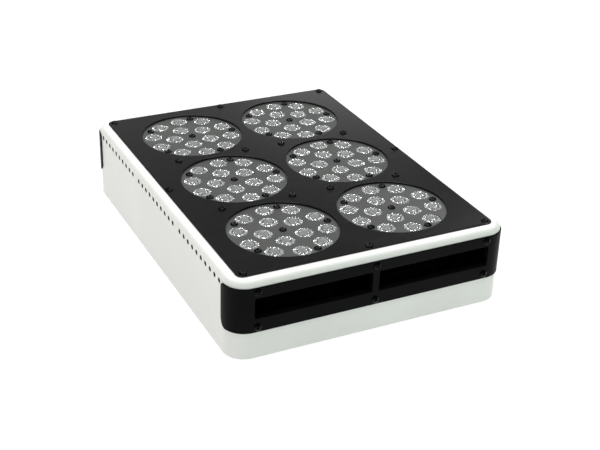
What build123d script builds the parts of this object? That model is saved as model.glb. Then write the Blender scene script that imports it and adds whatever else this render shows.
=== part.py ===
from build123d import *
import os

# LED grow light lying on its back with the light side up. Millimetres, +Z out of the light
# side, -Y towards the end with two air outlets, +Y towards the end with the mains inlet.
# The origin is the middle of the footprint, on the surface that the light lies on.

# ---------------------------------------------------------------- driving dimensions
# case shell: one folded sheet with a rolled rim at the light side
case_x, case_y, case_z = 212.0, 285.0, 59.0
case_corner_r = 15.0
case_rim_fillet = 4.5
case_wall = 1.7
inner_x, inner_y = case_x - 2 * case_wall, case_y - 2 * case_wall
inner_corner_r = case_corner_r - case_wall

# face plate, on a ledge of the shell, standing a little proud of the rim
plate_t, plate_proud = 1.5, 0.9
plate_x, plate_y, plate_corner_r = 196.5, 270.3, 5.0
plate_gap, plate_edge = 0.1, 0.25
plate_top = case_z + plate_proud
plate_z = plate_top - plate_t
ledge_t = 1.5
ledge_z = plate_z - ledge_t
ledge_open_x, ledge_open_y, ledge_corner_r = 176.0, 256.4, 4.0

# back cover, set into the shell from below against an inner flange
cover_z, cover_t = 1.5, 1.5
cover_gap = 0.2
cover_top = cover_z + cover_t
flange_t = 1.5
flange_top = cover_top + flange_t
flange_open_x, flange_open_y, flange_corner_r = 190.0, 263.0, 6.0
# ring slots over each fan, crossed by two bars
grille_rings, grille_r, grille_pitch, grille_slot, grille_bar = 5, 26.0, 4.5, 2.4, 3.0

# six light modules in two columns of three, each behind a round window
module_pitch_x, module_pitch_y = 86.5, 85.5
window_r = 39.75
module_r = 41.5
module_places = [
    (column * module_pitch_x / 2, row * module_pitch_y)
    for row in (-1, 0, 1)
    for column in (-1, 1)
]

# stack of a module, from the tray up: heatsink disc, circuit board, cup-shaped cover
tray_z, tray_t = 40.4, 1.5
tray_x, tray_y, tray_corner_r = 172.0, 254.0, 5.0
tray_hole, tray_hole_r = 62.0, 2.5
disc_z = tray_z + tray_t
board_z = disc_z + 4.0
cup_z = board_z + 2.0
cup_skin, cup_skirt = 1.5, 1.5

# fifteen lenses per module in two rings, and the six screws that hold the stack together
lens_r, lens_clearance = 6.8, 0.05
lens_flange_r, lens_flange_t = 7.4, 0.8
lens_foot_r, lens_foot_z = 3.4, cup_z + 1.0
lens_dome_edge, lens_dome_top = plate_z - 0.15, plate_z + 0.6
lens_leg_r, lens_leg_ring = 0.6, 6.6
outer_ring_r, inner_ring_r = 31.1, 15.05
module_screw_ring, module_screw_gap = 34.6, 1.0
boss_r = 3.2

# LED packages on the board, under the lenses
led_side, led_t, led_dome_r = 5.0, 0.9, 2.2
led_room_r, led_room_top = 2.8, cup_z + 4.0

# finned block under the disc, and a 60 mm fan under the block
fin_count, fin_t, fin_block = 13, 1.2, 60.0
fin_z = 23.0
post_side, post_pitch = 6.0, 50.0
fan_side, fan_h, fan_corner_r = 60.0, 15.0, 4.0
fan_screw_grip, post_hole_depth = 8.0, 12.0
fan_z = fin_z - fan_h
fan_bore_r, fan_flange_t = 28.5, 3.0
fan_base_r, fan_base_t, fan_strut = 13.0, 2.5, 3.0
fan_base_z = fin_z - fan_base_t
fan_strut_reach = fan_bore_r + 0.5
bearing_tube_r, bearing_r, bearing_z = 4.0, 2.5, 11.0
shaft_r, shaft_clearance = 1.5, 0.05
shaft_top = fan_base_z - 0.3
stator_r, stator_z, stator_h = 9.5, 12.0, 6.0
stator_shoe, stator_gap, stator_arm, stator_core_r = 1.4, 2.0, 3.4, 5.6
hub_r, hub_wall, hub_z, hub_cap_t, hub_top = 13.0, 1.2, 8.6, 1.4, 19.8
hub_edge_r = 1.0
blade_count, blade_tip_r = 7, 27.8
blade_mid_z, blade_t = 14.4, 1.1
# radius, width and pitch angle of a blade: steep at the hub, flatter at the tip
blade_sections = [(10.5, 10.5, 42), (19.5, 14.0, 34), (28.5, 17.0, 27)]

# end covers: a moulded band that wraps both corners of an end and frames the air outlets
end_t, end_edge_r = 1.0, 0.6
end_z, end_top = 20.3, 54.2
end_wrap = 17.3
end_wrap_upper_r, end_wrap_lower_r = 3.0, 7.5
outlet_z, outlet_top, outlet_corner_r, outlet_edge = 30.9, 46.0, 1.0, 0.35
outlet_inner_x, outlet_outer_x = 2.6, 89.8
lip_t, lip_depth, lip_gap = 1.2, 4.0, 0.2
# the inlet shortens one of the rear outlets
short_outlet_x = 26.0
front_outlets = [(-outlet_outer_x, -outlet_inner_x), (outlet_inner_x, outlet_outer_x)]
rear_outlets = [(-outlet_outer_x, -outlet_inner_x), (outlet_inner_x, short_outlet_x)]
end_y = case_y / 2 + end_t
end_screw_x, end_screw_low, end_screw_high = 87.8, 24.4, 50.8
end_screw_places = [
    (x, z) for x in (-end_screw_x, 0.0, end_screw_x) for z in (end_screw_low, end_screw_high)
]

# vent holes of the lens chamber, in both long sides
vent_r, vent_pitch, vents_per_module, vent_z = 1.9, 8.0, 10, 52.3

# M3 fasteners
screw_r, tapped_r, clearance_r = 1.45, 1.5, 1.7
head_r, head_h, head_side, shank_chamfer = 2.75, 1.7, 0.5, 0.3
cross_length, cross_width, cross_depth = 3.0, 0.75, 1.1
short_length, fine_length, inlet_screw_length = 7.0, 6.0, 8.0
flat_head_r, flat_sink_r = 2.9, 3.0
nut_across, nut_h = 5.5, 2.4
corner_screw_x, corner_screw_y, side_screw_x = 93.2, 131.0, 94.9
rim_screw_places = [
    (-corner_screw_x, -corner_screw_y), (corner_screw_x, -corner_screw_y),
    (-corner_screw_x, corner_screw_y), (corner_screw_x, corner_screw_y),
    (0.0, -corner_screw_y), (0.0, corner_screw_y),
    (-side_screw_x, 0.0), (side_screw_x, 0.0),
]
standoff_offset = 27.8
standoff_places = [
    (column * module_pitch_x / 2 + side * standoff_offset, row * module_pitch_y / 2)
    for row in (-1, 1)
    for column in (-1, 1)
    for side in (-1, 1)
]
cover_screw_places = [(x, y) for x in (-99.7, 99.7) for y in (-90.0, 0.0, 90.0)]
cover_screw_places += [(x, y) for x in (-50.0, 50.0) for y in (-136.2, 136.2)]

# four threaded points that the light hangs from
hang_x, hang_y = 176.0, 248.0
hang_thread_r, hang_barrel_r, hang_flange_r = 2.1, 3.5, 5.0
hang_flange_t, hang_top = 0.8, 12.0

# LED drivers, one along each long side
driver_x, driver_w, driver_l, driver_top = 85.0, 17.0, 220.0, 37.0
driver_edge_r, driver_cap, driver_screw_depth = 1.5, 4.0, 7.0
cap_groove_w, cap_groove_depth = 0.8, 0.5
driver_screw_places = [(x, y) for x in (-driver_x, driver_x) for y in (-80.0, 0.0, 80.0)]

# mains inlet in the rear end cover
inlet_x, inlet_z = 60.0, 36.5
inlet_flange_w, inlet_flange_h, inlet_flange_t = 50.0, 22.8, head_h
inlet_body_w, inlet_body_h, inlet_gap = 27.0, 20.0, 0.25
inlet_room_w, inlet_room_h, inlet_room_depth = 24.0, 16.5, 15.5
inlet_back_t, inlet_bevel = 1.5, 4.0
inlet_screw_pitch = 40.0
inlet_flange_corner_r, inlet_body_corner_r, inlet_edge_r = 4.0, 1.5, 0.6
inlet_face_y = end_y + inlet_flange_t
inlet_back_y = inlet_face_y - inlet_room_depth - inlet_back_t
pin_w, pin_t, pin_length, pin_point = 4.0, 2.0, 11.0, 0.5
tab_t, tab_length = 0.8, 6.0
pin_places = [(-7.0, -2.0), (0.0, 2.0), (7.0, -2.0)]

# wiring
mains_r, mains_bend, lead_r, lead_bend = 2.0, 3.0, 0.8, 2.0
mains_y = driver_l / 2 + 11.5
inlet_tab_z, driver_lead_z = 29.5, 22.0
mains_starts = [(inlet_x + 6.0, driver_x), (inlet_x - 3.0, -driver_x)]
board_lead_x, fan_lead_y = driver_x + 4.0, 20.0

os.makedirs("parts", exist_ok=True)


# ---------------------------------------------------------------- helpers
def save(part, name):
    """Label a finished piece and write it under the same name."""
    part.label = name
    export_step(part, f"parts/{name}.step")


def save_per_module(part, name):
    """Write one copy of a piece for each of the six modules."""
    for number, (x, y) in enumerate(module_places, start=1):
        save(part.moved(Location((x, y, 0))), f"{name}_{number}")


def level(z):
    """Horizontal plane at height z."""
    return Plane.XY.offset(z)


def across(y):
    """Upright plane at y, drawn with x to the right and z up, facing -Y."""
    return Plane.XZ.offset(-y)


def module_screw_locations():
    """The six screw places of a module: five in a ring and one in the middle."""
    return [Location((0, 0, 0))] + list(PolarLocations(module_screw_ring, 5))


def lens_locations():
    """The fifteen lens places of a module."""
    outer = list(PolarLocations(outer_ring_r, 10, start_angle=18))
    inner = list(PolarLocations(inner_ring_r, 5, start_angle=36))
    return outer + inner


def inlet_screw_locations():
    """The two screw places of the mains inlet, facing out of the rear end."""
    return [
        Location((inlet_x + side * inlet_screw_pitch / 2, inlet_face_y, inlet_z), (-90, 0, 0))
        for side in (-1, 1)
    ]


def pan_screw(length):
    """Domed screw with a cross recess: the head stands on z = 0, the shank hangs below."""
    with BuildPart() as screw:
        with BuildSketch(Plane.XZ):
            with BuildLine():
                Polyline(
                    (0, head_h), (0, -length), (screw_r - shank_chamfer, -length),
                    (screw_r, shank_chamfer - length), (screw_r, 0), (head_r, 0),
                    (head_r, head_side),
                )
                TangentArc((0, head_h), (head_r, head_side), tangent=(1, 0))
            make_face()
        revolve(axis=Axis.Z)
        with BuildSketch(level(head_h)):
            Rectangle(cross_length, cross_width)
            Rectangle(cross_width, cross_length)
        extrude(amount=-cross_depth, mode=Mode.SUBTRACT)
    return screw.part


def flat_screw(length):
    """Countersunk screw: the head's face is at z = 0 and the shank hangs below."""
    with BuildPart() as screw:
        with BuildSketch(Plane.XZ):
            with BuildLine():
                Polyline(
                    (0, 0), (flat_head_r, 0), (screw_r, screw_r - flat_head_r),
                    (screw_r, -length), (0, -length), close=True,
                )
            make_face()
        revolve(axis=Axis.Z)
        with BuildSketch():
            Rectangle(cross_length, cross_width)
            Rectangle(cross_width, cross_length)
        extrude(amount=-cross_depth, mode=Mode.SUBTRACT)
    return screw.part


# ---------------------------------------------------------------- case shell
with BuildPart() as shell:
    with BuildSketch():
        RectangleRounded(case_x, case_y, case_corner_r)
    extrude(amount=case_z)
    fillet(shell.edges().group_by(Axis.Z)[-1], case_rim_fillet)
    # main room, between the bottom flange and the ledge
    with BuildSketch(level(flange_top)):
        RectangleRounded(inner_x, inner_y, inner_corner_r)
    extrude(amount=ledge_z - flange_top, mode=Mode.SUBTRACT)
    # recess of the back cover
    with BuildSketch():
        RectangleRounded(inner_x, inner_y, inner_corner_r)
    extrude(amount=cover_top, mode=Mode.SUBTRACT)
    # openings inside the bottom flange and inside the ledge, and the face plate's pocket
    with BuildSketch(level(cover_top)):
        RectangleRounded(flange_open_x, flange_open_y, flange_corner_r)
    extrude(amount=flange_t, mode=Mode.SUBTRACT)
    with BuildSketch(level(ledge_z)):
        RectangleRounded(ledge_open_x, ledge_open_y, ledge_corner_r)
    extrude(amount=ledge_t, mode=Mode.SUBTRACT)
    with BuildSketch(level(plate_z)):
        RectangleRounded(
            plate_x + 2 * plate_gap, plate_y + 2 * plate_gap, plate_corner_r + plate_gap
        )
    extrude(amount=plate_t, mode=Mode.SUBTRACT)
    # screw holes in the ledge and in the bottom flange
    with BuildSketch(level(ledge_z)):
        with Locations(*rim_screw_places):
            Circle(clearance_r)
    extrude(amount=ledge_t, mode=Mode.SUBTRACT)
    with BuildSketch(level(cover_top)):
        with Locations(*cover_screw_places):
            Circle(tapped_r)
    extrude(amount=flange_t, mode=Mode.SUBTRACT)
    # vent holes through both long sides
    with BuildSketch(Plane.YZ):
        for row in (-1, 0, 1):
            with Locations((row * module_pitch_y, vent_z)):
                with GridLocations(vent_pitch, vent_pitch, vents_per_module, 1):
                    Circle(vent_r)
    extrude(amount=case_x, both=True, mode=Mode.SUBTRACT)
    # end walls: openings for the lips of the end covers, and tapped holes for their screws
    for y, outlets in ((-case_y / 2, front_outlets), (inner_y / 2, rear_outlets)):
        with BuildSketch(across(y)):
            for x0, x1 in outlets:
                with Locations(((x0 + x1) / 2, (outlet_z + outlet_top) / 2)):
                    Rectangle(
                        x1 - x0 + 2 * (lip_t + lip_gap),
                        outlet_top - outlet_z + 2 * (lip_t + lip_gap),
                    )
            with Locations(*end_screw_places):
                Circle(tapped_r)
        extrude(amount=-case_wall, mode=Mode.SUBTRACT)
    # rear wall: opening and tapped holes for the mains inlet
    with BuildSketch(across(inner_y / 2)):
        with Locations((inlet_x, inlet_z)):
            Rectangle(inlet_body_w + 2 * inlet_gap, inlet_body_h + 2 * inlet_gap)
            with GridLocations(inlet_screw_pitch, 1, 2, 1):
                Circle(tapped_r)
    extrude(amount=-case_wall, mode=Mode.SUBTRACT)
save(shell.part, "shell")


# ---------------------------------------------------------------- face plate
with BuildPart() as faceplate:
    with BuildSketch(level(plate_z)):
        RectangleRounded(plate_x, plate_y, plate_corner_r)
        with Locations(*module_places):
            Circle(window_r, mode=Mode.SUBTRACT)
    extrude(amount=plate_t)
    chamfer(faceplate.edges().group_by(Axis.Z)[-1], plate_edge)
    with BuildSketch(level(plate_z)):
        with Locations(*rim_screw_places, *standoff_places):
            Circle(clearance_r)
    extrude(amount=plate_t, mode=Mode.SUBTRACT)
save(faceplate.part, "faceplate")


# ---------------------------------------------------------------- back cover
with BuildSketch() as grille:
    for ring in range(grille_rings):
        slot_r = grille_r - ring * grille_pitch
        Circle(slot_r + grille_slot / 2)
        Circle(slot_r - grille_slot / 2, mode=Mode.SUBTRACT)
    for angle in (45, 135):
        Rectangle(2 * fan_bore_r, grille_bar, rotation=angle, mode=Mode.SUBTRACT)

with BuildPart() as back_cover:
    with BuildSketch(level(cover_z)):
        RectangleRounded(
            inner_x - 2 * cover_gap, inner_y - 2 * cover_gap, inner_corner_r - cover_gap
        )
        with Locations(*module_places):
            add(grille.sketch, mode=Mode.SUBTRACT)
        with GridLocations(hang_x, hang_y, 2, 2):
            Circle(hang_barrel_r, mode=Mode.SUBTRACT)
    extrude(amount=cover_t)
    with Locations(
        *[
            Location((x, y, cover_z), (180, 0, 0))
            for x, y in cover_screw_places + driver_screw_places
        ]
    ):
        CounterSinkHole(clearance_r, flat_sink_r, depth=2 * cover_t, counter_sink_angle=90)
save(back_cover.part, "back_cover")


# ---------------------------------------------------------------- end covers
def end_cover(outlets):
    """Moulded cover of the end at -Y: a band round the case with lipped air outlets."""
    with BuildPart() as cover:
        with BuildSketch(level(end_z)):
            RectangleRounded(
                case_x + 2 * end_t, case_y + 2 * end_t, case_corner_r + end_t
            )
        extrude(amount=end_top - end_z)
        rims = cover.edges().group_by(Axis.Z)
        fillet(rims[-1] + rims[0], end_edge_r)
        with BuildSketch(level(end_z)):
            RectangleRounded(case_x, case_y, case_corner_r)
        extrude(amount=end_top - end_z, mode=Mode.SUBTRACT)
        # only the end stays, and the ends of the wrap have rounded corners
        with BuildSketch(Plane.YZ) as wrap:
            with Locations((-end_y, end_z)):
                Rectangle(end_wrap, end_top - end_z, align=Align.MIN)
            inner_corners = wrap.vertices().group_by(Axis.X)[-1]
            fillet(inner_corners.sort_by(Axis.Y)[-1], end_wrap_upper_r)
            fillet(wrap.vertices().group_by(Axis.X)[-1].sort_by(Axis.Y)[0], end_wrap_lower_r)
        extrude(amount=case_x, both=True, mode=Mode.INTERSECT)
        # lips that reach in through the end wall, then the outlets themselves
        with BuildSketch(across(-case_y / 2)):
            for x0, x1 in outlets:
                with Locations(((x0 + x1) / 2, (outlet_z + outlet_top) / 2)):
                    RectangleRounded(
                        x1 - x0 + 2 * lip_t, outlet_top - outlet_z + 2 * lip_t,
                        outlet_corner_r + lip_t,
                    )
        extrude(amount=-lip_depth)
        with BuildSketch(across(-end_y)):
            for x0, x1 in outlets:
                with Locations(((x0 + x1) / 2, (outlet_z + outlet_top) / 2)):
                    RectangleRounded(x1 - x0, outlet_top - outlet_z, outlet_corner_r)
        extrude(amount=-(end_t + lip_depth), mode=Mode.SUBTRACT)
        face = cover.faces().sort_by(Axis.Y)[0]
        chamfer([edge for wire in face.inner_wires() for edge in wire.edges()], outlet_edge)
        with BuildSketch(across(-end_y)):
            with Locations(*end_screw_places):
                Circle(clearance_r)
        extrude(amount=-end_t, mode=Mode.SUBTRACT)
    return cover.part


with BuildPart() as front_bezel:
    add(end_cover(front_outlets))
save(front_bezel.part, "front_bezel")

with BuildPart() as rear_bezel:
    add(end_cover(rear_outlets))
    mirror(about=Plane.XZ, mode=Mode.REPLACE)
    with BuildSketch(across(end_y)):
        with Locations((inlet_x, inlet_z)):
            Rectangle(inlet_body_w + 2 * inlet_gap, inlet_body_h + 2 * inlet_gap)
            with GridLocations(inlet_screw_pitch, 1, 2, 1):
                Circle(clearance_r)
    extrude(amount=end_t, mode=Mode.SUBTRACT)
save(rear_bezel.part, "rear_bezel")


# ---------------------------------------------------------------- mains inlet
with BuildSketch(Plane.XY) as inlet_room:
    Rectangle(inlet_room_w, inlet_room_h)
    chamfer(inlet_room.vertices().group_by(Axis.Y)[-1], inlet_bevel)

with BuildPart() as mains_inlet:
    with BuildSketch(across(inlet_face_y)):
        with Locations((inlet_x, inlet_z)):
            RectangleRounded(inlet_flange_w, inlet_flange_h, inlet_flange_corner_r)
    extrude(amount=inlet_flange_t)
    fillet(mains_inlet.faces().sort_by(Axis.Y)[-1].edges(), inlet_edge_r)
    with BuildSketch(across(inlet_face_y - inlet_flange_t)):
        with Locations((inlet_x, inlet_z)):
            RectangleRounded(inlet_body_w, inlet_body_h, inlet_body_corner_r)
    extrude(amount=inlet_room_depth + inlet_back_t - inlet_flange_t)
    with BuildSketch(across(inlet_face_y)):
        with Locations((inlet_x, inlet_z)):
            add(inlet_room.sketch)
    extrude(amount=inlet_room_depth, mode=Mode.SUBTRACT)
    # slots of the pins through the back wall
    with BuildSketch(across(inlet_face_y - inlet_room_depth)):
        with Locations((inlet_x, inlet_z)):
            with Locations(*pin_places):
                Rectangle(pin_w, pin_t)
    extrude(amount=inlet_back_t, mode=Mode.SUBTRACT)
    with Locations(*inlet_screw_locations()):
        CounterSinkHole(
            clearance_r, flat_sink_r, depth=2 * inlet_flange_t, counter_sink_angle=90
        )
save(mains_inlet.part, "mains_inlet")

with BuildPart() as inlet_pins:
    pin_back_y = inlet_face_y - inlet_room_depth
    with BuildSketch(across(pin_back_y + pin_length)):
        with Locations((inlet_x, inlet_z)):
            with Locations(*pin_places):
                Rectangle(pin_w, pin_t)
    extrude(amount=pin_length + inlet_back_t)
    chamfer(inlet_pins.faces().group_by(Axis.Y)[-1].edges(), pin_point)
    with BuildSketch(across(inlet_back_y)):
        with Locations((inlet_x, inlet_z)):
            with Locations(*pin_places):
                Rectangle(pin_w, tab_t)
    extrude(amount=tab_length)
save(inlet_pins.part, "inlet_pins")


# ---------------------------------------------------------------- module cover
with BuildPart() as module_cover:
    with BuildSketch(level(cup_z)):
        Circle(module_r)
        Circle(module_r - cup_skirt, mode=Mode.SUBTRACT)
        with Locations(*module_screw_locations()):
            Circle(boss_r)
    extrude(amount=plate_z - cup_z)
    with BuildSketch(level(plate_z - cup_skin)):
        Circle(module_r)
    extrude(amount=cup_skin)
    with BuildSketch(level(cup_z)):
        with Locations(*module_screw_locations()):
            Circle(clearance_r)
    extrude(amount=plate_z - cup_z, mode=Mode.SUBTRACT)
    with BuildSketch(level(plate_z - cup_skin)):
        with Locations(*lens_locations()):
            Circle(lens_r + lens_clearance)
    extrude(amount=cup_skin, mode=Mode.SUBTRACT)
save_per_module(module_cover.part, "module_cover")


# ---------------------------------------------------------------- lenses
with BuildPart() as lens:
    with BuildSketch(Plane.XZ):
        with BuildLine():
            flange_top_z = plate_z - cup_skin
            flange_z = flange_top_z - lens_flange_t
            Polyline(
                (0, lens_dome_top), (0, led_room_top), (led_room_r, led_room_top),
                (led_room_r, lens_foot_z), (lens_foot_r, lens_foot_z),
                (lens_leg_ring, flange_z), (lens_flange_r, flange_z),
                (lens_flange_r, flange_top_z), (lens_r, flange_top_z), (lens_r, lens_dome_edge),
            )
            TangentArc((0, lens_dome_top), (lens_r, lens_dome_edge), tangent=(1, 0))
        make_face()
    revolve(axis=Axis.Z)
    with BuildSketch(level(cup_z)):
        with PolarLocations(lens_leg_ring, 3):
            Circle(lens_leg_r)
    extrude(amount=flange_z - cup_z)

with BuildPart() as lenses:
    with Locations(*lens_locations()):
        add(lens.part)
save_per_module(lenses.part, "lenses")


# ---------------------------------------------------------------- LED boards and emitters
with BuildPart() as led_board:
    with BuildSketch(level(board_z)):
        Circle(module_r)
        with Locations(*module_screw_locations()):
            Circle(clearance_r, mode=Mode.SUBTRACT)
    extrude(amount=cup_z - board_z)
save_per_module(led_board.part, "led_board")

with BuildPart() as emitter:
    with BuildSketch(level(cup_z)):
        Rectangle(led_side, led_side)
    extrude(amount=led_t)
    with BuildSketch(Plane.XZ):
        with Locations((0, cup_z + led_t)):
            Circle(led_dome_r, arc_size=90, align=None)
    revolve(axis=Axis.Z)

with BuildPart() as led_emitters:
    lens_places = lens_locations()
    for x, y in module_places:
        with Locations(*[Location((x, y, 0)) * place for place in lens_places]):
            add(emitter.part)
save(led_emitters.part, "led_emitters")


# ---------------------------------------------------------------- heatsinks
with BuildPart() as heatsink:
    with BuildSketch(level(disc_z)):
        Circle(module_r)
    extrude(amount=board_z - disc_z)
    with BuildSketch(level(fin_z)):
        with GridLocations((fin_block - fin_t) / (fin_count - 1), 1, fin_count, 1):
            Rectangle(fin_t, fin_block)
        with GridLocations(post_pitch, post_pitch, 2, 2):
            Rectangle(post_side, post_side)
    extrude(amount=disc_z - fin_z)
    with BuildSketch(level(disc_z)):
        with Locations(*module_screw_locations()):
            Circle(tapped_r)
    extrude(amount=board_z - disc_z, mode=Mode.SUBTRACT)
    with BuildSketch(level(fin_z)):
        with GridLocations(post_pitch, post_pitch, 2, 2):
            Circle(tapped_r)
    extrude(amount=post_hole_depth, mode=Mode.SUBTRACT)
save_per_module(heatsink.part, "heatsink")


# ---------------------------------------------------------------- fans
with BuildPart() as fan_frame:
    with BuildSketch(level(fan_z)):
        Circle(fan_side / 2)
    extrude(amount=fan_h)
    for z in (fan_z, fin_z - fan_flange_t):
        with BuildSketch(level(z)):
            RectangleRounded(fan_side, fan_side, fan_corner_r)
        extrude(amount=fan_flange_t)
    with BuildSketch(level(fan_z)):
        Circle(fan_bore_r)
        with GridLocations(post_pitch, post_pitch, 2, 2):
            Circle(clearance_r)
    extrude(amount=fan_h, mode=Mode.SUBTRACT)
    with BuildSketch(level(fan_base_z)):
        Circle(fan_base_r)
        Rectangle(2 * fan_strut_reach, fan_strut)
        Rectangle(fan_strut, 2 * fan_strut_reach)
    extrude(amount=fan_base_t)
    with BuildSketch(level(bearing_z)):
        Circle(bearing_tube_r)
        Circle(bearing_r, mode=Mode.SUBTRACT)
    extrude(amount=fan_base_z - bearing_z)
save_per_module(fan_frame.part, "fan_frame")

with BuildPart() as fan_bearings:
    with BuildSketch(level(bearing_z)):
        with Locations(*module_places):
            Circle(bearing_r)
            Circle(shaft_r + shaft_clearance, mode=Mode.SUBTRACT)
    extrude(amount=shaft_top - bearing_z)
save(fan_bearings.part, "fan_bearings")

with BuildPart() as stator:
    with BuildSketch(level(stator_z)):
        Circle(stator_r)
        Circle(stator_r - stator_shoe, mode=Mode.SUBTRACT)
        for angle in (45, 135):
            Rectangle(2 * stator_r, stator_gap, rotation=angle, mode=Mode.SUBTRACT)
        for angle in (0, 90):
            Rectangle(2 * stator_r - stator_shoe, stator_arm, rotation=angle)
        Circle(stator_core_r)
        Circle(bearing_tube_r, mode=Mode.SUBTRACT)
    extrude(amount=stator_h)

with BuildPart() as fan_stators:
    with Locations(*module_places):
        add(stator.part)
save(fan_stators.part, "fan_stators")

with BuildPart() as blade:
    for radius, width, pitch_angle in blade_sections:
        with BuildSketch(Plane.YZ.offset(radius)):
            with Locations((0, blade_mid_z)):
                Rectangle(width, blade_t, rotation=pitch_angle)
    loft(ruled=True)

with BuildPart() as fan_blades:
    with PolarLocations(0, blade_count):
        add(blade.part)
    with BuildSketch(level(fan_z)):
        Circle(blade_tip_r)
        Circle(hub_r - hub_wall / 2, mode=Mode.SUBTRACT)
    extrude(amount=fan_h, mode=Mode.INTERSECT)

with BuildPart() as fan_rotor:
    with BuildSketch(level(hub_z)):
        Circle(hub_r)
    extrude(amount=hub_top - hub_z)
    fillet(fan_rotor.edges().group_by(Axis.Z)[0], hub_edge_r)
    with BuildSketch(level(hub_z + hub_cap_t)):
        Circle(hub_r - hub_wall)
    extrude(amount=hub_top - hub_z - hub_cap_t, mode=Mode.SUBTRACT)
    with BuildSketch(level(hub_z)):
        Circle(shaft_r)
    extrude(amount=shaft_top - hub_z)
    add(fan_blades.part)
save_per_module(fan_rotor.part, "fan_rotor")


# ---------------------------------------------------------------- tray, stand-offs and nuts
with BuildPart() as tray:
    with BuildSketch(level(tray_z)):
        RectangleRounded(tray_x, tray_y, tray_corner_r)
        with Locations(*module_places):
            RectangleRounded(tray_hole, tray_hole, tray_hole_r, mode=Mode.SUBTRACT)
        with Locations(*standoff_places):
            Circle(clearance_r, mode=Mode.SUBTRACT)
    extrude(amount=tray_t)
save(tray.part, "tray")

with BuildPart() as standoffs:
    with BuildSketch(level(disc_z)):
        with Locations(*standoff_places):
            RegularPolygon(nut_across / 2, 6, major_radius=False)
            Circle(tapped_r, mode=Mode.SUBTRACT)
    extrude(amount=plate_z - disc_z)
save(standoffs.part, "standoffs")

with BuildPart() as rim_nuts:
    with BuildSketch(level(ledge_z - nut_h)):
        with Locations(*rim_screw_places):
            RegularPolygon(nut_across / 2, 6, major_radius=False)
            Circle(tapped_r, mode=Mode.SUBTRACT)
    extrude(amount=nut_h)
save(rim_nuts.part, "rim_nuts")

with BuildPart() as hanging_nut:
    with BuildSketch(Plane.XZ):
        with BuildLine():
            Polyline(
                (hang_thread_r, cover_z - hang_flange_t), (hang_flange_r, cover_z - hang_flange_t),
                (hang_flange_r, cover_z), (hang_barrel_r, cover_z),
                (hang_barrel_r, hang_top), (hang_thread_r, hang_top), close=True,
            )
        make_face()
    revolve(axis=Axis.Z)

with BuildPart() as hanging_nuts:
    with GridLocations(hang_x, hang_y, 2, 2):
        add(hanging_nut.part)
save(hanging_nuts.part, "hanging_nuts")


# ---------------------------------------------------------------- drivers
with BuildPart() as driver_right:
    with BuildSketch(level(cover_top)):
        with Locations((driver_x, 0)):
            Rectangle(driver_w, driver_l)
    extrude(amount=driver_top - cover_top)
    fillet(driver_right.edges().filter_by(Axis.Y), driver_edge_r)
    # a shallow groove round the driver parts each end cap from the case
    driver_h = driver_top - cover_top
    for side in (-1, 1):
        with BuildSketch(across(side * (driver_l / 2 - driver_cap))):
            with Locations((driver_x, cover_top + driver_h / 2)):
                Rectangle(driver_w, driver_h)
                RectangleRounded(
                    driver_w - 2 * cap_groove_depth, driver_h - 2 * cap_groove_depth,
                    driver_edge_r - cap_groove_depth, mode=Mode.SUBTRACT,
                )
        extrude(amount=cap_groove_w / 2, both=True, mode=Mode.SUBTRACT)
    with BuildSketch(level(cover_top)):
        with Locations(*[place for place in driver_screw_places if place[0] > 0]):
            Circle(tapped_r)
    extrude(amount=driver_screw_depth, mode=Mode.SUBTRACT)
save(driver_right.part, "driver_right")

with BuildPart() as driver_left:
    add(driver_right.part)
    mirror(about=Plane.YZ, mode=Mode.REPLACE)
save(driver_left.part, "driver_left")


# ---------------------------------------------------------------- fasteners
with BuildPart() as faceplate_screws:
    short_screw = pan_screw(short_length)
    for number, (x, y) in enumerate(rim_screw_places + standoff_places):
        with Locations(Location((x, y, plate_top), (0, 0, 37 * number))):
            add(short_screw)
save(faceplate_screws.part, "faceplate_screws")

with BuildPart() as module_screws:
    long_screw = pan_screw(plate_z - disc_z - module_screw_gap)
    for column, (x, y) in enumerate(module_places):
        for number, place in enumerate(module_screw_locations()):
            turn = Location((0, 0, plate_z), (0, 0, 23 * column + 31 * number))
            with Locations(Location((x, y, 0)) * place * turn):
                add(long_screw)
save(module_screws.part, "module_screws")

with BuildPart() as tray_screws:
    tray_screw = pan_screw(fine_length)
    with Locations(*[Location((x, y, tray_z), (180, 0, 0)) for x, y in standoff_places]):
        add(tray_screw)
save(tray_screws.part, "tray_screws")

with BuildPart() as fan_screws:
    fan_screw = pan_screw(fan_h + fan_screw_grip)
    for x, y in module_places:
        with Locations(Location((x, y, 0))):
            with GridLocations(post_pitch, post_pitch, 2, 2):
                with Locations(Location((0, 0, fan_z), (180, 0, 0))):
                    add(fan_screw)
save(fan_screws.part, "fan_screws")

with BuildPart() as bezel_screws:
    end_screw = pan_screw(fine_length)
    for number, (x, z) in enumerate(end_screw_places):
        front = Location((x, -end_y, z), (90, 0, 0))
        rear = Location((x, end_y, z), (-90, 0, 0))
        with Locations(front * Rotation(0, 0, 41 * number), rear * Rotation(0, 0, 29 * number)):
            add(end_screw)
    inlet_screw = flat_screw(inlet_screw_length)
    with Locations(*inlet_screw_locations()):
        add(inlet_screw)
save(bezel_screws.part, "bezel_screws")

with BuildPart() as back_cover_screws:
    cover_screw = flat_screw(fine_length)
    for x, y in cover_screw_places + driver_screw_places:
        with Locations(Location((x, y, cover_z), (180, 0, 0))):
            add(cover_screw)
save(back_cover_screws.part, "back_cover_screws")


# ---------------------------------------------------------------- wiring
def lead(points, radius, bend):
    """Round lead through the points, with every corner rounded by the bend radius."""
    with BuildPart() as run:
        with BuildLine() as path:
            FilletPolyline(*points, radius=bend)
        with BuildSketch(Plane(path.line @ 0, z_dir=path.line % 0)):
            Circle(radius)
        sweep()
    return run.part


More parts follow.
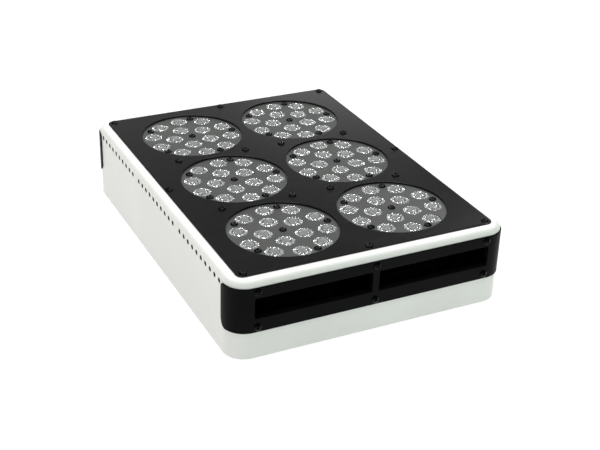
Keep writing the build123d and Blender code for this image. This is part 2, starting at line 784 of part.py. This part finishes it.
with BuildPart() as mains_wiring:
    for start_x, end_x in mains_starts:
        add(
            lead(
                [
                    (start_x, inlet_back_y, inlet_tab_z), (start_x, mains_y, inlet_tab_z),
                    (end_x, mains_y, driver_lead_z), (end_x, driver_l / 2, driver_lead_z),
                ],
                mains_r, mains_bend,
            )
        )
save(mains_wiring.part, "mains_wiring")

with BuildPart() as module_wiring:
    board_edge = module_pitch_x / 2 + module_r + 0.05
    fan_edge = module_pitch_x / 2 + fan_side / 2
    lead_z = (board_z + cup_z) / 2
    for x, y in module_places:
        side = 1 if x > 0 else -1
        # from the driver's top to the edge of the circuit board
        add(
            lead(
                [
                    (side * board_lead_x, y, driver_top), (side * board_lead_x, y, lead_z),
                    (side * board_edge, y, lead_z),
                ],
                lead_r, lead_bend,
            )
        )
        # from the fan's edge straight into the driver's side
        with BuildSketch(Plane.YZ.offset(side * fan_edge)):
            with Locations((y + fan_lead_y, fin_z - fan_flange_t / 2)):
                Circle(lead_r)
        extrude(amount=side * (driver_x - driver_w / 2 - fan_edge))
save(module_wiring.part, "module_wiring")
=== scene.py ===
from math import cos, pi, radians, sin

import bmesh
import bpy
from mathutils import Matrix, Vector


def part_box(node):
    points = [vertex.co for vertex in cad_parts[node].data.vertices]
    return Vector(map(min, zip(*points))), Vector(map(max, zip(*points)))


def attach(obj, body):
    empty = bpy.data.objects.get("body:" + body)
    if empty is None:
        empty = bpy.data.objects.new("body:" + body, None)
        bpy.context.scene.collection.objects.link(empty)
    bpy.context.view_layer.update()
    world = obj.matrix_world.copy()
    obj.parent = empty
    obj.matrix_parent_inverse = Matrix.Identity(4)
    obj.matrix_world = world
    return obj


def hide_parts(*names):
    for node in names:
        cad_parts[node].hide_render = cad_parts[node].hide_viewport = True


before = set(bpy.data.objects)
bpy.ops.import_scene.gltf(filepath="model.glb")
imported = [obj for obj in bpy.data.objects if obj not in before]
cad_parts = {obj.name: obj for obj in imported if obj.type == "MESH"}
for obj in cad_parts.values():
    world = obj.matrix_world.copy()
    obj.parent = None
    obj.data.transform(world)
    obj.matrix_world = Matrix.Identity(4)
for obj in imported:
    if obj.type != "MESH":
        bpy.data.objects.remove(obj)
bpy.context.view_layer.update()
MM = 0.001

MODULES = range(1, 7)

# ------------------------------------------------------------------ case
PLATE_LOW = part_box("faceplate")[0].z
COVER_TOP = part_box("back_cover")[1].z
RIM_H = 4.6 * MM
RIM_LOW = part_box("shell")[1].z - RIM_H
SHELL_CORNER_R, COVER_CORNER_R = 15.0 * MM, 13.1 * MM
# the shell is white this deep from its outside and painted with near-black shade deeper in, and
# the cover is painted with near-black shade this deep from its top
SHELL_WHITE, COVER_SHADE_DEPTH = 0.15 * MM, 0.9 * MM

# ------------------------------------------------------------------ lenses
LENS_R, FLANGE_R, LED_ROOM_R = 6.8 * MM, 7.4 * MM, 2.8 * MM
LENS_EDGE = PLATE_LOW - 0.15 * MM
FLANGE_TOP, FLANGE_LOW = PLATE_LOW - 1.5 * MM, PLATE_LOW - 2.3 * MM
FLANK_MIDDLE, FLANK_FOOT = PLATE_LOW - 4.0 * MM, PLATE_LOW - 6.6 * MM
CUP_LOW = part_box("module_cover_1")[0].z
LENS_FOOT = CUP_LOW + 1.0 * MM
LED_ROOM_EDGE, LED_ROOM_TOP = CUP_LOW + 3.4 * MM, CUP_LOW + 4.0 * MM
# the shade slot holds painted shade for the groove round the middle and the flute valleys
LENS_SLOTS = {"glass": 0, "crown": 1, "teeth": 1, "shade": 2}
FLUTES, FLUTE_STEPS, LOBES = 16, 6, 8
LENS_SEGMENTS = FLUTES * FLUTE_STEPS
# each circle of lenses: its radius, how many there are, and the angle of the first in degrees
LENS_CIRCLES = ((31.1 * MM, 10, 18.0), (15.05 * MM, 5, 36.0))

# ------------------------------------------------------------------ studio
FLOOR_R, FLOOR_SEGMENTS, FLOOR_CLOUDS = 20.0, 96, 3.0
FLOOR_GLOW, GLOW_INSET = 0.88, 8.0 * MM
STUDIO_MIDDLE = (0.0, 0.0, 0.03)
SURROUNDINGS = 0.07
SPARKLE_SIZE, SPARKLE_POWER = 0.16, 4.5
SPARKLE_PLACES = [
    (-0.38, 0.77, 1.42), (1.02, 0.30, 1.28), (0.04, 1.25, 1.10), (0.96, 0.80, 1.10),
]
WHITE, CREAM, PALE_GREEN = (1.0, 1.0, 1.0), (1.0, 0.985, 0.88), (0.55, 1.0, 0.74)
CAMERA_PLACE, CAMERA_TARGET = (-0.3672, -0.7532, 0.4609), (-0.0299, -0.0851, 0.0593)
CAMERA_ROLL, FOCAL_LENGTH, SENSOR_WIDTH = radians(1.906), 73.1, 36.0

# ------------------------------------------------------------------ noise and relief
# most noise values are between the first two, and colours change between the other two
NOISE_LOW, NOISE_HIGH = 0.3, 0.7
COLOUR_START, COLOUR_END = 0.35, 0.65
PATCH_DETAIL, FINE_DETAIL = 4.0, 2.0
GRAIN_STRENGTH = 0.4
ENAMEL_PATCH, PEEL, PEEL_STRENGTH, PEEL_DEPTH = 14.0, 420.0, 0.25, 0.06 * MM
RIPPLE, RIPPLE_STRENGTH, RIPPLE_DEPTH = 900.0, 0.2, 0.02 * MM
ACRYLIC_IOR = 1.49


# ------------------------------------------------------------------ material building blocks
def new_material(name):
    """Material with its node tree, its links and its Principled shader."""
    made = bpy.data.materials.new(name)
    made.use_nodes = True
    tree = made.node_tree
    return made, tree, tree.nodes["Principled BSDF"]


def coordinates(tree, scale=(1.0, 1.0, 1.0)):
    """Object coordinates in metres, stretched by scale."""
    source = tree.nodes.new("ShaderNodeTexCoord")
    mapping = tree.nodes.new("ShaderNodeMapping")
    mapping.inputs["Scale"].default_value = scale
    tree.links.new(source.outputs["Object"], mapping.inputs["Vector"])
    return mapping.outputs["Vector"]


def noise(tree, vector, scale, detail):
    """Noise value, mostly between NOISE_LOW and NOISE_HIGH, over the given coordinates."""
    node = tree.nodes.new("ShaderNodeTexNoise")
    node.inputs["Scale"].default_value = scale
    node.inputs["Detail"].default_value = detail
    tree.links.new(vector, node.inputs["Vector"])
    return node.outputs["Fac"]


def spread(tree, value, low, high, start=NOISE_LOW, end=NOISE_HIGH):
    """Value moved from start..end to low..high."""
    node = tree.nodes.new("ShaderNodeMapRange")
    node.inputs["From Min"].default_value = start
    node.inputs["From Max"].default_value = end
    node.inputs["To Min"].default_value = low
    node.inputs["To Max"].default_value = high
    tree.links.new(value, node.inputs["Value"])
    return node.outputs["Result"]


def two_colours(tree, value, first, second):
    """Colour that goes from first to second over the middle of a noise value."""
    ramp = tree.nodes.new("ShaderNodeValToRGB")
    start, end = ramp.color_ramp.elements
    start.position, start.color = COLOUR_START, (*first, 1.0)
    end.position, end.color = COLOUR_END, (*second, 1.0)
    tree.links.new(value, ramp.inputs["Fac"])
    return ramp.outputs["Color"]


def bump(tree, shader, height, strength, distance):
    """Bump on the shader's normal, from a height value and a depth in metres."""
    node = tree.nodes.new("ShaderNodeBump")
    node.inputs["Strength"].default_value = strength
    node.inputs["Distance"].default_value = distance
    tree.links.new(height, node.inputs["Height"])
    tree.links.new(node.outputs["Normal"], shader.inputs["Normal"])


def calculate(tree, operation, first, second=0.0):
    """Result of one Math node; each input is a socket or a number."""
    node = tree.nodes.new("ShaderNodeMath")
    node.operation = operation
    for socket, value in zip(node.inputs, (first, second)):
        if isinstance(value, float):
            socket.default_value = value
        else:
            tree.links.new(value, socket)
    return node.outputs[0]


def shade_depth_mask(tree, position, node_name, corner_r, skin, low, high):
    """1 deeper than skin inside a node's rounded outline, between two heights; 0 elsewhere. It
    marks where shade is painted.
    """
    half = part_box(node_name)[1]
    parts = tree.nodes.new("ShaderNodeSeparateXYZ")
    tree.links.new(position, parts.inputs[0])
    squares = []
    for axis, reach in (("X", half.x - corner_r), ("Y", half.y - corner_r)):
        size = calculate(tree, "ABSOLUTE", parts.outputs[axis])
        past_corner = calculate(tree, "MAXIMUM", calculate(tree, "SUBTRACT", size, reach), 0.0)
        squares.append(calculate(tree, "MULTIPLY", past_corner, past_corner))
    distance = calculate(tree, "SQRT", calculate(tree, "ADD", squares[0], squares[1]))
    inside = calculate(tree, "LESS_THAN", distance, corner_r - skin)
    above = calculate(tree, "GREATER_THAN", parts.outputs["Z"], low)
    below = calculate(tree, "LESS_THAN", parts.outputs["Z"], high)
    return calculate(tree, "MULTIPLY", inside, calculate(tree, "MULTIPLY", above, below))


# ------------------------------------------------------------------ materials
def finish_material(name, dark, light, rough, grain, depth, metallic=0.0, specular=0.5,
                    stretch=(1.0, 1.0, 1.0), patch=18.0):
    """Solid finish: two close colours in soft patches, and fine grain in gloss and relief.

    Patch and grain are noise scales, rough is the lowest and highest roughness, depth is the
    grain's relief in metres, and stretch pulls the grain along an axis."""
    made, tree, shader = new_material(name)
    even = coordinates(tree)
    grained = coordinates(tree, stretch)
    colour = two_colours(tree, noise(tree, even, patch, PATCH_DETAIL), dark, light)
    fine = noise(tree, grained, grain, FINE_DETAIL)
    tree.links.new(colour, shader.inputs["Base Color"])
    tree.links.new(spread(tree, fine, rough[0], rough[1]), shader.inputs["Roughness"])
    shader.inputs["Metallic"].default_value = metallic
    shader.inputs["Specular IOR Level"].default_value = specular
    bump(tree, shader, fine, GRAIN_STRENGTH, depth)
    return made


def enamel(name, node_name, corner_r, skin, low, high):
    """White stove enamel with a faint orange peel, and near-black painted shade for the unlit
    inside of the case where the mask is 1.
    """
    made, tree, shader = new_material(name)
    even = coordinates(tree)
    patches = noise(tree, even, ENAMEL_PATCH, PATCH_DETAIL)
    outside = two_colours(tree, patches, (0.83, 0.83, 0.80), (0.87, 0.87, 0.845))
    # near-black painted shade for the unlit inside of the case, seen through the windows
    inside = two_colours(tree, patches, (0.004, 0.004, 0.0045), (0.007, 0.007, 0.0075))
    mix = tree.nodes.new("ShaderNodeMix")
    mix.data_type = "RGBA"
    mask = shade_depth_mask(tree, even, node_name, corner_r, skin, low, high)
    tree.links.new(mask, mix.inputs["Factor"])
    tree.links.new(outside, mix.inputs["A"])
    tree.links.new(inside, mix.inputs["B"])
    tree.links.new(mix.outputs["Result"], shader.inputs["Base Color"])
    peel = noise(tree, even, PEEL, FINE_DETAIL)
    tree.links.new(spread(tree, peel, 0.30, 0.40), shader.inputs["Roughness"])
    bump(tree, shader, peel, PEEL_STRENGTH, PEEL_DEPTH)
    return made


def acrylic(name, dark, light, rough, transmission=0.0, metallic=0.0):
    """Acrylic with a faint moulding ripple; clear when given transmission, and painted shade when
    given dark colours.
    """
    made, tree, shader = new_material(name)
    ripple = noise(tree, coordinates(tree), RIPPLE, FINE_DETAIL)
    tree.links.new(two_colours(tree, ripple, dark, light), shader.inputs["Base Color"])
    tree.links.new(spread(tree, ripple, rough[0], rough[1]), shader.inputs["Roughness"])
    shader.inputs["Transmission Weight"].default_value = transmission
    shader.inputs["Metallic"].default_value = metallic
    shader.inputs["IOR"].default_value = ACRYLIC_IOR
    bump(tree, shader, ripple, RIPPLE_STRENGTH, RIPPLE_DEPTH)
    return made


def make_materials():
    """One finish per kind of surface, by name."""
    made = {
        "plate": finish_material(
            "black_enamel_plate", (0.0055, 0.0053, 0.0057), (0.008, 0.0077, 0.0083), (0.18, 0.24),
            30.0, 0.01 * MM, specular=0.35, stretch=(1.0, 60.0, 60.0), patch=9.0),
        "bezel": finish_material(
            "black_moulding", (0.0025, 0.0025, 0.003), (0.004, 0.004, 0.0045), (0.34, 0.46),
            1400.0, 0.03 * MM, specular=0.05),
        "black_screw": finish_material(
            "black_oxide", (0.0015, 0.0015, 0.0016), (0.003, 0.003, 0.0032), (0.10, 0.15), 900.0,
            0.005 * MM, specular=0.10),
        "zinc": finish_material(
            "zinc_plate", (0.52, 0.52, 0.49), (0.66, 0.66, 0.64), (0.25, 0.40), 500.0, 0.02 * MM,
            metallic=1.0, patch=120.0),
        "module": finish_material(
            "grey_satin_module", (0.042, 0.044, 0.0415), (0.051, 0.053, 0.050), (0.42, 0.54),
            1100.0, 0.03 * MM, specular=0.4, patch=40.0),
        "board": finish_material(
            "board_mask", (0.74, 0.76, 0.74), (0.82, 0.83, 0.81), (0.30, 0.45), 800.0, 0.02 * MM,
            patch=90.0),
        "emitter": finish_material(
            "emitter_package", (0.72, 0.72, 0.62), (0.85, 0.84, 0.76), (0.10, 0.22), 1500.0,
            0.02 * MM, patch=400.0),
        "heatsink": finish_material(
            "black_anodised", (0.004, 0.004, 0.0045), (0.008, 0.008, 0.0085), (0.38, 0.55), 60.0,
            0.03 * MM, stretch=(40.0, 1.0, 40.0)),
        "fan": finish_material(
            "fan_moulding", (0.007, 0.007, 0.0075), (0.013, 0.013, 0.0135), (0.40, 0.55), 1000.0,
            0.03 * MM),
        "bronze": finish_material(
            "sintered_bronze", (0.36, 0.23, 0.11), (0.48, 0.31, 0.15), (0.35, 0.55), 1500.0,
            0.02 * MM, metallic=1.0),
        "stator": finish_material(
            "stator_sheet", (0.20, 0.19, 0.18), (0.34, 0.32, 0.30), (0.35, 0.5), 60.0, 0.05 * MM,
            metallic=1.0, stretch=(1.0, 1.0, 40.0)),
        "driver": finish_material(
            "driver_case", (0.30, 0.30, 0.31), (0.38, 0.38, 0.39), (0.32, 0.46), 60.0, 0.02 * MM,
            metallic=1.0, stretch=(40.0, 1.0, 40.0)),
        "inlet": finish_material(
            "inlet_moulding", (0.008, 0.008, 0.0085), (0.013, 0.013, 0.0135), (0.24, 0.34),
            900.0, 0.02 * MM),
        "pin": finish_material(
            "nickel_pin", (0.60, 0.57, 0.50), (0.72, 0.69, 0.62), (0.16, 0.28), 700.0, 0.01 * MM,
            metallic=1.0),
        "tray": finish_material(
            "tray_sheet", (0.016, 0.016, 0.017), (0.024, 0.024, 0.025), (0.40, 0.55), 500.0,
            0.03 * MM),
        "wire": finish_material(
            "wire_jacket", (0.012, 0.012, 0.012), (0.020, 0.020, 0.020), (0.42, 0.58), 900.0,
            0.03 * MM),
    }
    # the inside of the shell and the top of the back cover get painted shade
    made["shell"] = enamel(
        "white_enamel_shell_painted_shade_inside", "shell", SHELL_CORNER_R, SHELL_WHITE, COVER_TOP, RIM_LOW)
    made["cover"] = enamel(
        "white_enamel_cover_painted_shade_top", "back_cover", COVER_CORNER_R, 0.0, COVER_TOP - COVER_SHADE_DEPTH,
        PLATE_LOW)
    made["glass"] = acrylic(
        "lens_clear", (0.34, 0.355, 0.35), (0.44, 0.455, 0.45), (0.05, 0.14), transmission=0.45)
    made["crown"] = acrylic(
        "lens_crown", (0.23, 0.24, 0.235), (0.31, 0.32, 0.315), (0.06, 0.14), metallic=0.4)
    # painted shade: near-black acrylic for the groove round each lens's middle and the valleys of
    # its teeth
    made["shade"] = acrylic(
        "lens_painted_shade", (0.035, 0.037, 0.036), (0.06, 0.062, 0.061), (0.10, 0.20))
    return made


FINISH_OF_NODE = {
    "shell": "shell", "back_cover": "cover", "faceplate": "plate",
    "front_bezel": "bezel", "rear_bezel": "bezel",
    "faceplate_screws": "black_screw", "module_screws": "black_screw",
    "bezel_screws": "black_screw",
    "back_cover_screws": "zinc", "tray_screws": "zinc", "fan_screws": "zinc",
    "standoffs": "zinc", "rim_nuts": "zinc", "hanging_nuts": "zinc", "tray": "tray",
    "led_emitters": "emitter", "fan_bearings": "bronze", "fan_stators": "stator",
    "driver_left": "driver", "driver_right": "driver",
    "mains_inlet": "inlet", "inlet_pins": "pin", "mains_wiring": "wire", "module_wiring": "wire",
}
FINISH_PER_MODULE = {
    "module_cover": "module", "lenses": "glass", "led_board": "board", "heatsink": "heatsink",
    "fan_frame": "fan", "fan_rotor": "fan",
}


def paint_nodes(finishes):
    """Give every CAD node its finish."""
    wanted = dict(FINISH_OF_NODE)
    for number in MODULES:
        for name, finish in FINISH_PER_MODULE.items():
            wanted[f"{name}_{number}"] = finish
    for name, finish in wanted.items():
        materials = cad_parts[name].data.materials
        materials.clear()
        materials.append(finishes[finish])


# ------------------------------------------------------------------ lenses
def lens_rings():
    """Profile of a lens from the middle of its top, outwards and down to the room for its LED.

    Each ring is (radius, height, lobe depth, flute depth, part), in metres; the part names the
    band inside the ring. Lobes wave the smooth middle, and flutes cut the bright crown round
    it."""
    top = PLATE_LOW
    return [
        (1.0 * MM, top + 0.50 * MM, 0.0, 0.0, "glass"),
        (2.0 * MM, top + 0.46 * MM, 0.08 * MM, 0.0, "glass"),
        (2.9 * MM, top + 0.36 * MM, 0.20 * MM, 0.0, "glass"),
        (3.5 * MM, top + 0.18 * MM, 0.08 * MM, 0.0, "glass"),
        # painted shade in the groove between the middle and the crown
        (3.7 * MM, top - 0.08 * MM, 0.0, 0.0, "shade"),
        (3.9 * MM, top - 0.08 * MM, 0.0, 0.0, "shade"),
        (4.2 * MM, top + 0.24 * MM, 0.0, 0.08 * MM, "crown"),
        (5.0 * MM, top + 0.52 * MM, 0.0, 0.32 * MM, "crown"),
        (5.6 * MM, top + 0.56 * MM, 0.0, 0.46 * MM, "crown"),
        (6.3 * MM, top + 0.30 * MM, 0.0, 0.42 * MM, "teeth"),
        (6.7 * MM, top + 0.06 * MM, 0.0, 0.26 * MM, "teeth"),
        (LENS_R, LENS_EDGE, 0.0, 0.0, "glass"),
        (LENS_R, FLANGE_TOP, 0.0, 0.0, "glass"),
        (FLANGE_R, FLANGE_TOP, 0.0, 0.0, "glass"),
        (FLANGE_R, FLANGE_LOW, 0.0, 0.0, "glass"),
        (6.6 * MM, FLANGE_LOW, 0.0, 0.0, "crown"),
        (5.9 * MM, FLANK_MIDDLE, 0.0, 0.0, "crown"),
        (4.8 * MM, FLANK_FOOT, 0.0, 0.0, "crown"),
        (3.4 * MM, LENS_FOOT, 0.0, 0.0, "crown"),
        (LED_ROOM_R, LENS_FOOT, 0.0, 0.0, "glass"),
        (LED_ROOM_R, LED_ROOM_EDGE, 0.0, 0.0, "glass"),
        (2.0 * MM, LED_ROOM_TOP, 0.0, 0.0, "glass"),
    ]


def add_lens(mesh, centre, turn):
    """Add one lens, turned about its own axis, to a bmesh."""
    rings = lens_rings()
    rows = []
    for radius, height, lobe, flute, _ in rings:
        row = []
        for step in range(LENS_SEGMENTS):
            angle = 2 * pi * step / LENS_SEGMENTS
            from_peak = abs(step % FLUTE_STEPS - FLUTE_STEPS / 2) / (FLUTE_STEPS / 2)
            drop = flute * from_peak + 0.5 * lobe * (1.0 - cos(LOBES * angle))
            row.append(mesh.verts.new((
                centre.x + radius * cos(turn + angle), centre.y + radius * sin(turn + angle),
                height - drop)))
        rows.append(row)
    for (inner, outer), ring in zip(zip(rows, rows[1:]), rings[1:]):
        part = ring[4]
        for step in range(LENS_SEGMENTS):
            after = (step + 1) % LENS_SEGMENTS
            face = mesh.faces.new((inner[step], outer[step], outer[after], inner[after]))
            face.smooth = part in ("glass", "shade")
            # the valley face of each tooth gets painted shade
            valley = part == "teeth" and step % FLUTE_STEPS == 0
            face.material_index = LENS_SLOTS["shade" if valley else part]
    # the middle of the top, and the ceiling of the LED room
    for row, height, flip in ((rows[0], rings[0][1], False), (rows[-1], rings[-1][1], True)):
        middle = mesh.verts.new((centre.x, centre.y, height))
        for step in range(LENS_SEGMENTS):
            after = (step + 1) % LENS_SEGMENTS
            corners = (middle, row[after], row[step]) if flip else (middle, row[step], row[after])
            face = mesh.faces.new(corners)
            face.smooth = True


def make_lens_cluster(number, finishes):
    """The fifteen detailed lenses of one module, in place of its plain ones."""
    low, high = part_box(f"module_cover_{number}")
    middle = (low + high) / 2
    mesh = bmesh.new()
    for radius, count, start in LENS_CIRCLES:
        for step in range(count):
            angle = radians(start) + 2 * pi * step / count
            place = middle + Vector((radius * cos(angle), radius * sin(angle), 0.0))
            add_lens(mesh, place, angle)
    data = bpy.data.meshes.new(f"lens_cluster_{number}")
    mesh.to_mesh(data)
    mesh.free()
    for name in ("glass", "crown", "shade"):
        data.materials.append(finishes[name])
    piece = bpy.data.objects.new(f"lens_cluster_{number}", data)
    bpy.context.scene.collection.objects.link(piece)
    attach(piece, "case")
    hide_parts(f"lenses_{number}")


# ------------------------------------------------------------------ studio
def floor_glow(tree):
    """Strength of the floor's glow: even, but none under the case, where it would shine up
    through the grilles."""
    parts = tree.nodes.new("ShaderNodeSeparateXYZ")
    tree.links.new(coordinates(tree), parts.inputs[0])
    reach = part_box("back_cover")[1]
    outside = [
        calculate(tree, "GREATER_THAN", calculate(tree, "ABSOLUTE", parts.outputs[axis]),
                  half - GLOW_INSET)
        for axis, half in (("X", reach.x), ("Y", reach.y))
    ]
    open_floor = calculate(tree, "MAXIMUM", outside[0], outside[1])
    return spread(tree, open_floor, 0.0, FLOOR_GLOW, 0.0, 1.0)


def make_floor():
    """Plain pale floor, large enough to fill every view."""
    made, tree, shader = new_material("studio_floor")
    clouds = noise(tree, coordinates(tree), FLOOR_CLOUDS, FINE_DETAIL)
    tone = two_colours(tree, clouds, (0.19, 0.19, 0.19), (0.21, 0.21, 0.21))
    tree.links.new(tone, shader.inputs["Base Color"])
    shader.inputs["Roughness"].default_value = 0.9
    shader.inputs["Specular IOR Level"].default_value = 0.0
    shader.inputs["Emission Color"].default_value = (*WHITE, 1.0)
    tree.links.new(floor_glow(tree), shader.inputs["Emission Strength"])
    mesh = bmesh.new()
    bmesh.ops.create_circle(mesh, cap_ends=True, radius=FLOOR_R, segments=FLOOR_SEGMENTS)
    data = bpy.data.meshes.new("studio_floor")
    mesh.to_mesh(data)
    mesh.free()
    data.materials.append(made)
    floor = bpy.data.objects.new("studio_floor", data)
    bpy.context.scene.collection.objects.link(floor)


def softbox(name, place, size, power, tint=WHITE):
    """Square area light that faces the middle of the studio and isn't seen itself."""
    data = bpy.data.lights.new(name, "AREA")
    data.shape = "SQUARE"
    data.size = size
    data.energy = power
    data.color = tint
    lamp = bpy.data.objects.new(name, data)
    lamp.location = place
    direction = Vector(STUDIO_MIDDLE) - Vector(place)
    lamp.rotation_euler = direction.to_track_quat("-Z", "Y").to_euler()
    lamp.visible_camera = False
    bpy.context.scene.collection.objects.link(lamp)
    return lamp


def make_light():
    """Soft white tent: even surroundings, a large box overhead, four small lamps that make the
    lenses sparkle, and weaker boxes at the sides and the back."""
    world = bpy.data.worlds.new("studio")
    world.use_nodes = True
    background = world.node_tree.nodes["Background"]
    background.inputs["Color"].default_value = (*WHITE, 1.0)
    background.inputs["Strength"].default_value = SURROUNDINGS
    bpy.context.scene.world = world
    softbox("overhead", (0.0, 0.0, 2.0), 2.4, 41.0)
    for number, place in enumerate(SPARKLE_PLACES, start=1):
        softbox(f"sparkle_{number}", place, SPARKLE_SIZE, SPARKLE_POWER)
    softbox("left", (-1.6, -0.3, 0.7), 1.2, 3.8, CREAM)
    front = softbox("front", (0.6, -1.75, 0.45), 1.0, 4.0, PALE_GREEN)
    # it only lights surfaces, because its tint would show in the gloss of the face plate
    front.visible_glossy = False
    softbox("back", (1.1, 3.0, 0.6), 1.6, 2.8)
    softbox("back_right", (0.95, 1.69, 0.52), 0.4, 0.6)
    bpy.context.scene.view_settings.view_transform = "Standard"


def make_camera():
    """Camera in front of the left corner, looking down on the face plate."""
    data = bpy.data.cameras.new("camera")
    data.lens = FOCAL_LENGTH
    data.sensor_width = SENSOR_WIDTH
    camera = bpy.data.objects.new("camera", data)
    place = Vector(CAMERA_PLACE)
    direction = Vector(CAMERA_TARGET) - place
    turn = direction.to_track_quat("-Z", "Y").to_matrix().to_4x4()
    roll = Matrix.Rotation(CAMERA_ROLL, 4, "Z")
    camera.matrix_world = Matrix.Translation(place) @ turn @ roll
    bpy.context.scene.collection.objects.link(camera)
    bpy.context.scene.camera = camera


finishes = make_materials()
make_camera()
paint_nodes(finishes)
for number in MODULES:
    make_lens_cluster(number, finishes)
make_floor()
make_light()
